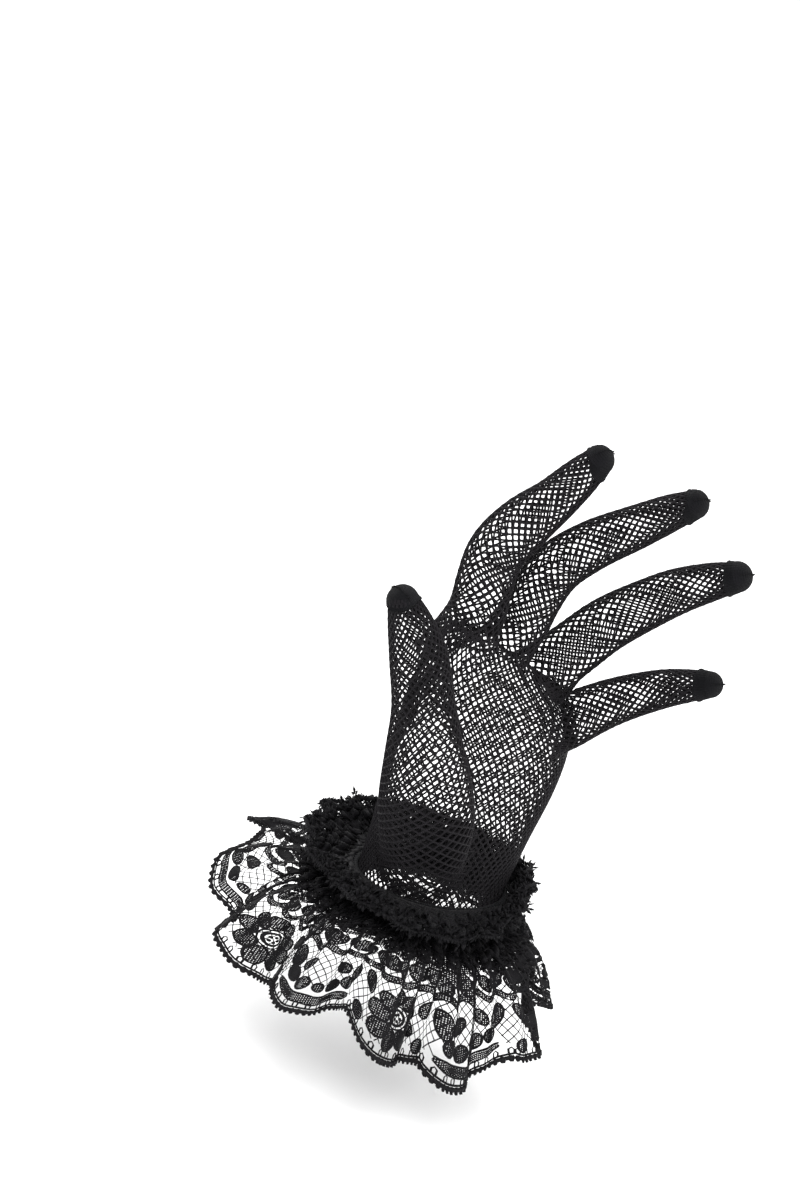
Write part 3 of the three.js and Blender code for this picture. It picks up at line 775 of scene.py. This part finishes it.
def flower_scallop(cloth, frill, middle, deep):
    """Flower with an open ring centre and petals that reach the border's loops"""
    centre = np.array([middle, deep - 15.6])
    turn = np.linspace(0, 2 * math.pi, 15)
    ring = np.stack([np.cos(turn), np.sin(turn)], 1)
    for radius, half in ((2.6, 0.5), (3.9, 0.3)):
        thread(cloth, frill, centre + radius * ring, half, 0.32)
    for angle in np.linspace(0, 2 * math.pi, 5, endpoint=False):
        spot = centre + 1.2 * np.array([math.cos(angle), math.sin(angle)])
        patch(cloth, frill, spot, (0.6, 0.6), 0, 0, 6, 0.2, False)
    petals = 9
    for k in range(petals):
        angle = 2 * math.pi * (k + 0.5) / petals
        long = 3.7 if math.sin(angle) > 0 else 3.0
        spot = centre + (long + 4.2) * np.array([math.cos(angle), math.sin(angle)])
        patch(cloth, frill, spot, (long, 2.75), angle)
    for side in (-1, 1):
        leaf(cloth, frill, (middle + side * 14.3, deep - 9.4), 2.6, 2.0, side * 0.5)
        leaf(cloth, frill, (middle + side * 13.8, deep - 22.0), 3.8, 2.2, side * 0.5)
    hedge(cloth, frill, middle, deep)


def lace_flounce(settings):
    """Deep frill, whose scallops hold arcs and flowers by turns"""
    cloth = Cloth()
    deep = FLOUNCE["deep"]

    def ground_end(x):
        k = np.floor(x / SCALLOP)
        a = x - (k + 0.5) * SCALLOP
        plain = np.mod(k, 2) == 0
        return edge_depth(FLOUNCE, x) - np.where(plain, np.where(np.abs(a) < 13.5, 10.0, 5.2), 4.8)

    ground_net(cloth, FLOUNCE, settings.ground_pitch / MM, 0.6, ground_end)
    scalloped_border(cloth, FLOUNCE, 2.3, 21)
    for k in range(SCALLOPS):
        figure = flower_scallop if k % 2 else chevron_scallop
        figure(cloth, FLOUNCE, (k + 0.5) * SCALLOP, deep)
    for k in range(SCALLOPS * 4):
        leaf(cloth, FLOUNCE, ((k + 0.5) * SCALLOP / 4, 13.5 + 1.2 * (k % 2)), 3.0, 2.4, 0.4 * (k % 3 - 1))
    gather_threads(cloth, FLOUNCE)
    piece = cloth.make("flounce_lace", [cord_material(), clothwork_material()], ["lace_flounce"])
    ruche("flounce_ruche", FLOUNCE, FLOUNCE_STRIPS, *FLOUNCE_ENDS)


def gather_threads(cloth, frill):
    """Close rows of stitching where the lace is gathered"""
    x = np.linspace(0, LACE_LENGTH, 421)
    for y in GATHER_ROWS:
        thread(cloth, frill, np.stack([x, np.full(len(x), y)], 1), 0.4, 0.35)
    for y in np.arange(CLOSE_START, frill["strip"], CLOSE_PITCH):
        slot = 0 if y < CLOSE_DEPTH else 1
        thread(cloth, frill, np.stack([x, y + 0.35 * np.sin(x * 1.1 + y)], 1), 1.0, BAND_HALF, slot)


def lace_heading(settings):
    """Short frill with rows of ovals"""
    cloth = Cloth()
    deep = HEADING["deep"]
    ground_net(cloth, HEADING, settings.ground_pitch / MM * 0.8, 0.4, lambda x: edge_depth(HEADING, x) - 1.2)
    for k in range(SCALLOPS * 3):
        middle = (k + 0.5) * SCALLOP / 3
        patch(cloth, HEADING, (middle, deep - 8.5), (3.6, 3.0), 0.3 * (k % 3 - 1))
        patch(cloth, HEADING, (middle + SCALLOP / 6, deep - 4.2), (2.6, 1.9), 0.2)
    scalloped_border(cloth, HEADING, 1.4, 30)
    gather_threads(cloth, HEADING)
    piece = cloth.make("heading_lace", [cord_material(), clothwork_material()], ["lace_heading"])
    ruche("heading_ruche", HEADING, HEADING_STRIPS, *HEADING_ENDS)


def ruche(name, frill, strips, depth, ends):
    """Crumpled strips and small pointed ends that make a gather a soft black mass with a feathery edge"""
    cloth = Cloth()
    draw = np.random.default_rng(len(strips))
    x = np.linspace(0, LACE_LENGTH, 901)
    turn = 2 * math.pi * x / LACE_LENGTH
    for y, waves, proud in strips:
        drift = draw.uniform(0, 2 * math.pi)
        crumple = np.sin(waves * turn + drift) + 0.5 * np.sin(1.7 * np.sin(11 * turn) + 19 * turn + drift)
        run = y + 0.6 * np.sin(31 * turn + drift)
        thread(cloth, frill, np.stack([x, run], 1), STRIP_HALF, BAND_HALF, 1, proud * crumple)
    pointed_ends(cloth, frill, draw, depth, ends)
    return cloth.make(name, [cord_material(), clothwork_material()], [])


def pointed_ends(cloth, frill, draw, depth, count):
    """Thin leaf-shaped ends of lace that stand off a frill at all angles, closer toward the given depth"""
    x = draw.uniform(0, LACE_LENGTH, count)
    y = depth * draw.uniform(0.05, 1, count) ** 0.7
    root = frill_points(frill, x, y)
    down = unit(frill_points(frill, x, y + 0.3) - root)
    out = unit(frill_points(frill, x, y, 1.0) - root) * draw.choice([-1, 1], count)[:, None]
    way = unit(down * draw.uniform(0.1, 1.1, (count, 1)) + out + draw.uniform(-0.7, 0.7, (count, 3)))
    side = unit(np.cross(way, draw.uniform(-1, 1, (count, 3))))
    long = draw.uniform(1.2, 3.2, (count, 1))
    wide = long * draw.uniform(0.12, 0.24, (count, 1))
    thin = np.cross(way, side) * 0.1
    middle = root + way * long * 0.55
    sides = [middle + side * wide, middle + thin, middle - side * wide, middle - thin]
    points = np.stack([root, *sides, root + way * long], 1)
    shape = np.array([(0, 2, 1), (0, 3, 2), (0, 4, 3), (0, 1, 4), (5, 1, 2), (5, 2, 3), (5, 3, 4), (5, 4, 1)])
    faces = (shape[None] + (np.arange(count) * 6)[:, None, None]).reshape(-1, 3).tolist()
    cloth.add(points, faces, np.repeat(np.stack([x, y], 1), 6, axis=0))


def gathered_band():
    """Elastic band under the frills, drawn into fine upright pleats"""
    cloth = Cloth()
    around = 360
    turn = np.linspace(0, 2 * math.pi, around, endpoint=False)
    rings = []
    for out, z in BAND_PROFILE:
        pleat = BAND_PLEAT * np.sin(BAND_PLEATS * turn + 1.2 * np.sin(7 * turn)) * (1 if out > 1 else 0)
        grow = out + pleat
        rings.append(np.stack([(WRIST_HALF[0] + grow) * np.cos(turn) + BAND_SHIFT_X,
                               (WRIST_HALF[1] + grow) * np.sin(turn) + WRIST_Y, np.full(around, z)], 1))
    faces = tube_faces(len(rings), around)
    top = (len(rings) - 1) * around
    faces += [(top + s, top + (s + 1) % around, (s + 1) % around, s) for s in range(around)]
    flat = np.stack([np.tile(turn * 27, len(rings)), np.repeat([z for _, z in BAND_PROFILE], around)], 1)
    cloth.add(np.concatenate(rings), faces, flat)
    return cloth.make("gathered_band", [knit_material()], ["gather_band"])


# Materials. Waves of the knit and of the clothwork, in radians to a centimetre of cloth

KNIT_WAVE = 78.5
FINE_WAVE = 105.0
WEFT_WAVE = 90.0
WEFT_LEAN = 25.0


class Value:
    """A socket whose arithmetic adds nodes"""

    def __init__(self, maker, socket):
        self.maker, self.socket = maker, socket

    def _math(self, operation, *values):
        return self.maker.node("ShaderNodeMath", {"operation": operation}, dict(enumerate(values)))

    def __add__(self, other):
        return self._math("ADD", self, other)

    def __radd__(self, other):
        return self._math("ADD", other, self)

    def __mul__(self, other):
        return self._math("MULTIPLY", self, other)

    def __rmul__(self, other):
        return self._math("MULTIPLY", other, self)

    def sine(self):
        return self._math("SINE", self)

    def above(self, limit):
        return self._math("GREATER_THAN", self, limit)


class Maker:
    """Adds nodes to one material, whose flat coordinates are centimetres of cloth"""

    def __init__(self, name):
        self.material = bpy.data.materials.new(name)
        self.material.use_nodes = True
        self.tree = self.material.node_tree
        self.shader = self.tree.nodes["Principled BSDF"]

    def node(self, kind, settings=None, inputs=None, output=0):
        made = self.tree.nodes.new(kind)
        for key, value in (settings or {}).items():
            setattr(made, key, value)
        for key, value in (inputs or {}).items():
            self.feed(made.inputs[key], value)
        return Value(self, made.outputs[output])

    def feed(self, socket, value):
        if isinstance(value, Value):
            self.tree.links.new(value.socket, socket)
        else:
            socket.default_value = value

    def mixed(self, factor, first, second):
        """Colour between two colours; 6, 7 and 2 are the colour sockets of the Mix node"""
        return self.node("ShaderNodeMix", {"data_type": "RGBA"}, {0: factor, 6: first, 7: second}, 2)

    def across_and_along(self):
        """The two flat coordinates of the cloth"""
        flat = self.node("ShaderNodeUVMap", {"uv_map": "flat"}, {}, "UV")
        across = self.node("ShaderNodeSeparateXYZ", {}, {0: flat}, "X")
        return across, Value(self, across.socket.node.outputs["Y"])

    def finish(self, **values):
        for key, value in values.items():
            self.feed(self.shader.inputs[key.replace("_", " ")], value)
        return self.material


def black_yarn(name, colour, rough, sheen, bump_scale):
    """Shared finish of black yarn: slight colour change, fibres in the bump, a soft sheen"""
    maker = Maker(name)
    colour = np.array(colour)
    place = maker.node("ShaderNodeTexCoord", output="Object")
    patchy = maker.node("ShaderNodeTexNoise", {}, {"Vector": place, "Scale": 140.0, "Detail": 3.0}, "Fac")
    fibre = maker.node("ShaderNodeTexNoise", {}, {"Vector": place, "Scale": bump_scale, "Detail": 4.0}, "Fac")
    tint = maker.mixed(patchy, (*colour, 1), (*(colour * 2.5), 1))
    bump = maker.node("ShaderNodeBump", {}, {"Height": fibre, "Strength": 0.6, "Distance": 0.0001}, "Normal")
    maker.finish(Base_Color=tint, Roughness=rough + 0.2 * fibre, Normal=bump, Sheen_Weight=sheen,
                 Sheen_Roughness=0.4, Specular_IOR_Level=0.08)
    return maker


def sizes():
    return bpy.context.scene.glove_sizes


@cache
def yarn_material():
    return black_yarn("fishnet_yarn", sizes().yarn_colour, 0.52, 0.012, 2600.0).material


@cache
def knit_material():
    """Close knit: courses and wales of small stitches in the bump"""
    maker = black_yarn("fingertip_knit", sizes().knit_colour, 0.66, 0.02, 2200.0)
    across, along = maker.across_and_along()
    wale = (across * KNIT_WAVE).sine() * 0.5
    course = (along * KNIT_WAVE + (across * KNIT_WAVE).sine() * 1.2).sine() * 0.5
    height = {"Height": wale + course, "Strength": 0.7, "Distance": 0.0003}
    return maker.finish(Normal=maker.node("ShaderNodeBump", {}, height, "Normal"))


@cache
def cord_material():
    return black_yarn("lace_cord", sizes().lace_colour, 0.45, 0.012, 3000.0).material


@cache
def clothwork_material():
    """Filled parts of the lace: fine parallel threads with light between them"""
    maker = black_yarn("lace_clothwork", sizes().lace_colour, 0.5, 0.015, 3000.0)
    across, along = maker.across_and_along()
    fine = (across * FINE_WAVE).sine()
    weft = (along * WEFT_WAVE + across * WEFT_LEAN).sine()
    return maker.finish(Alpha=(fine + weft * 0.8 + 0.95).above(0.0))


def floor_material():
    maker = Maker("pale_floor")
    place = maker.node("ShaderNodeTexCoord", output="Object")
    grain = maker.node("ShaderNodeTexNoise", {}, {"Vector": place, "Scale": 6.0, "Detail": 2.0}, "Fac")
    colour = (*sizes().floor_colour, 1)
    return maker.finish(Base_Color=colour, Roughness=0.7 + 0.1 * grain, Specular_IOR_Level=0.2)


# Stage

def view_axes():
    """Right, up and back of the camera"""
    a, e, roll = VIEW_AZIMUTH, VIEW_ELEVATION, VIEW_ROLL
    right = np.array([math.cos(a), math.sin(a), 0])
    back = np.array([math.sin(a) * math.cos(e), -math.cos(a) * math.cos(e), math.sin(e)])
    up = np.cross(back, right)
    return right * math.cos(roll) + up * math.sin(roll), -right * math.sin(roll) + up * math.cos(roll), back


def build_stage(settings):
    right, up, back = view_axes()
    camera = bpy.data.cameras.new("photo_camera")
    camera.sensor_width = SENSOR
    camera.lens = PIXELS_PER_MM * VIEW_DISTANCE / PHOTO_HEIGHT * SENSOR
    camera.clip_start, camera.clip_end = CLIP
    holder = linked("photo_camera", camera)
    place = (np.array(VIEW_CENTRE) + back * VIEW_DISTANCE) * MM
    turned = Matrix((right, up, back)).transposed().to_4x4()
    holder.matrix_world = Matrix.Translation(Vector(place)) @ turned
    bpy.context.scene.camera = holder
    mesh = bpy.data.meshes.new("floor")
    half, low = FLOOR_HALF, settings.floor_height
    corners = [(-half, -half, low), (half, -half, low), (half, half, low), (-half, half, low)]
    mesh.from_pydata(corners, [], [(0, 1, 2, 3)])
    mesh.materials.append(floor_material())
    floor = linked("floor", mesh)
    for name, place, size, power in LIGHTS:
        lamp = bpy.data.lights.new(name, "AREA")
        lamp.size = size
        lamp.energy = power
        stand = linked(name, lamp)
        stand.location = place
        stand.rotation_euler = (Vector(LIGHT_AIM) - Vector(place)).to_track_quat("-Z", "Y").to_euler()
    world = bpy.data.worlds.new("studio")
    world.use_nodes = True
    sky = world.node_tree.nodes["Background"]
    sky.inputs["Color"].default_value = (1, 1, 1, 1)
    sky.inputs["Strength"].default_value = SKY_STRENGTH
    bpy.context.scene.world = world
    bpy.context.scene.view_settings.view_transform = "Standard"


# Add-on

class GLOVE_Sizes(bpy.types.PropertyGroup):
    yarn: bpy.props.FloatProperty(
        name="Yarn", description="Radius of the net's yarn", default=0.33 * MM, unit="LENGTH")
    cell_height: bpy.props.FloatProperty(
        name="Cell height", description="Height of one net cell", default=2.9 * MM, unit="LENGTH")
    ground_pitch: bpy.props.FloatProperty(
        name="Ground pitch", description="Pitch of the lace's ground net", default=2.3 * MM, unit="LENGTH")
    digit_cells: bpy.props.IntProperty(
        name="Finger cells", description="Net cells round a finger", default=19)
    thumb_cells: bpy.props.IntProperty(
        name="Thumb cells", description="Net cells round the thumb", default=22)
    palm_cells: bpy.props.IntProperty(
        name="Palm cells", description="Net cells round the palm", default=66)
    floor_height: bpy.props.FloatProperty(
        name="Floor", description="Height of the floor", default=-0.062, unit="LENGTH")
    yarn_colour: bpy.props.FloatVectorProperty(
        name="Yarn colour", description="Darkest tone of the net's yarn", default=(0.0045, 0.004, 0.0048),
        subtype="COLOR", min=0, max=1)
    knit_colour: bpy.props.FloatVectorProperty(
        name="Knit colour", description="Darkest tone of the fingertips and the band",
        default=(0.003, 0.003, 0.0036), subtype="COLOR", min=0, max=1)
    lace_colour: bpy.props.FloatVectorProperty(
        name="Lace colour", description="Darkest tone of the lace", default=(0.004, 0.0038, 0.0044),
        subtype="COLOR", min=0, max=1)
    floor_colour: bpy.props.FloatVectorProperty(
        name="Floor colour", description="Tone of the floor", default=(0.93, 0.93, 0.93),
        subtype="COLOR", min=0, max=1)


class GLOVE_OT_skin(bpy.types.Operator):
    """Make the smooth skin that the yarn is laid on"""
    bl_idname = "glove.skin"
    bl_label = "Skin guide"

    def execute(self, context):
        SKIN["tree"] = hand_skin()
        return {"FINISHED"}


class GLOVE_OT_palm(bpy.types.Operator):
    """Lay the net of the palm and the back of the hand"""
    bl_idname = "glove.palm"
    bl_label = "Palm net"

    def execute(self, context):
        palm_net(context.scene.glove_sizes)
        return {"FINISHED"}


class GLOVE_OT_digits(bpy.types.Operator):
    """Lay the nets of the thumb and the fingers"""
    bl_idname = "glove.digits"
    bl_label = "Finger nets"

    def execute(self, context):
        for name in DIGITS:
            digit_net(name, context.scene.glove_sizes)
        return {"FINISHED"}


class GLOVE_OT_tips(bpy.types.Operator):
    """Knit the closed fingertips"""
    bl_idname = "glove.tips"
    bl_label = "Fingertips"

    def execute(self, context):
        for name in DIGITS:
            knitted_tip(name)
        return {"FINISHED"}


class GLOVE_OT_band(bpy.types.Operator):
    """Make the gathered band round the wrist"""
    bl_idname = "glove.band"
    bl_label = "Gathered band"

    def execute(self, context):
        gathered_band()
        return {"FINISHED"}


class GLOVE_OT_flounce(bpy.types.Operator):
    """Make the deep lace flounce"""
    bl_idname = "glove.flounce"
    bl_label = "Lace flounce"

    def execute(self, context):
        lace_flounce(context.scene.glove_sizes)
        return {"FINISHED"}


class GLOVE_OT_heading(bpy.types.Operator):
    """Make the short lace heading"""
    bl_idname = "glove.heading"
    bl_label = "Lace heading"

    def execute(self, context):
        lace_heading(context.scene.glove_sizes)
        return {"FINISHED"}


class GLOVE_OT_stage(bpy.types.Operator):
    """Set the floor, the lights and the camera"""
    bl_idname = "glove.stage"
    bl_label = "Stage"

    def execute(self, context):
        build_stage(context.scene.glove_sizes)
        return {"FINISHED"}


class GLOVE_PT_panel(bpy.types.Panel):
    bl_label = "Fishnet glove"
    bl_idname = "GLOVE_PT_panel"
    bl_space_type = "VIEW_3D"
    bl_region_type = "UI"
    bl_category = "Glove"

    def draw(self, context):
        for name in GLOVE_Sizes.__annotations__:
            self.layout.prop(context.scene.glove_sizes, name)
        for step in STEPS:
            self.layout.operator(step.bl_idname)


STEPS = (GLOVE_OT_skin, GLOVE_OT_palm, GLOVE_OT_digits, GLOVE_OT_tips, GLOVE_OT_band, GLOVE_OT_flounce,
         GLOVE_OT_heading, GLOVE_OT_stage)
CLASSES = (GLOVE_Sizes, *STEPS, GLOVE_PT_panel)


def register():
    for item in CLASSES:
        bpy.utils.register_class(item)
    bpy.types.Scene.glove_sizes = bpy.props.PointerProperty(type=GLOVE_Sizes)


def unregister():
    del bpy.types.Scene.glove_sizes
    for item in reversed(CLASSES):
        bpy.utils.unregister_class(item)


def main():
    register()
    for step in STEPS:
        group, name = step.bl_idname.split(".")
        getattr(getattr(bpy.ops, group), name)()


if __name__ == "__main__":
    main()
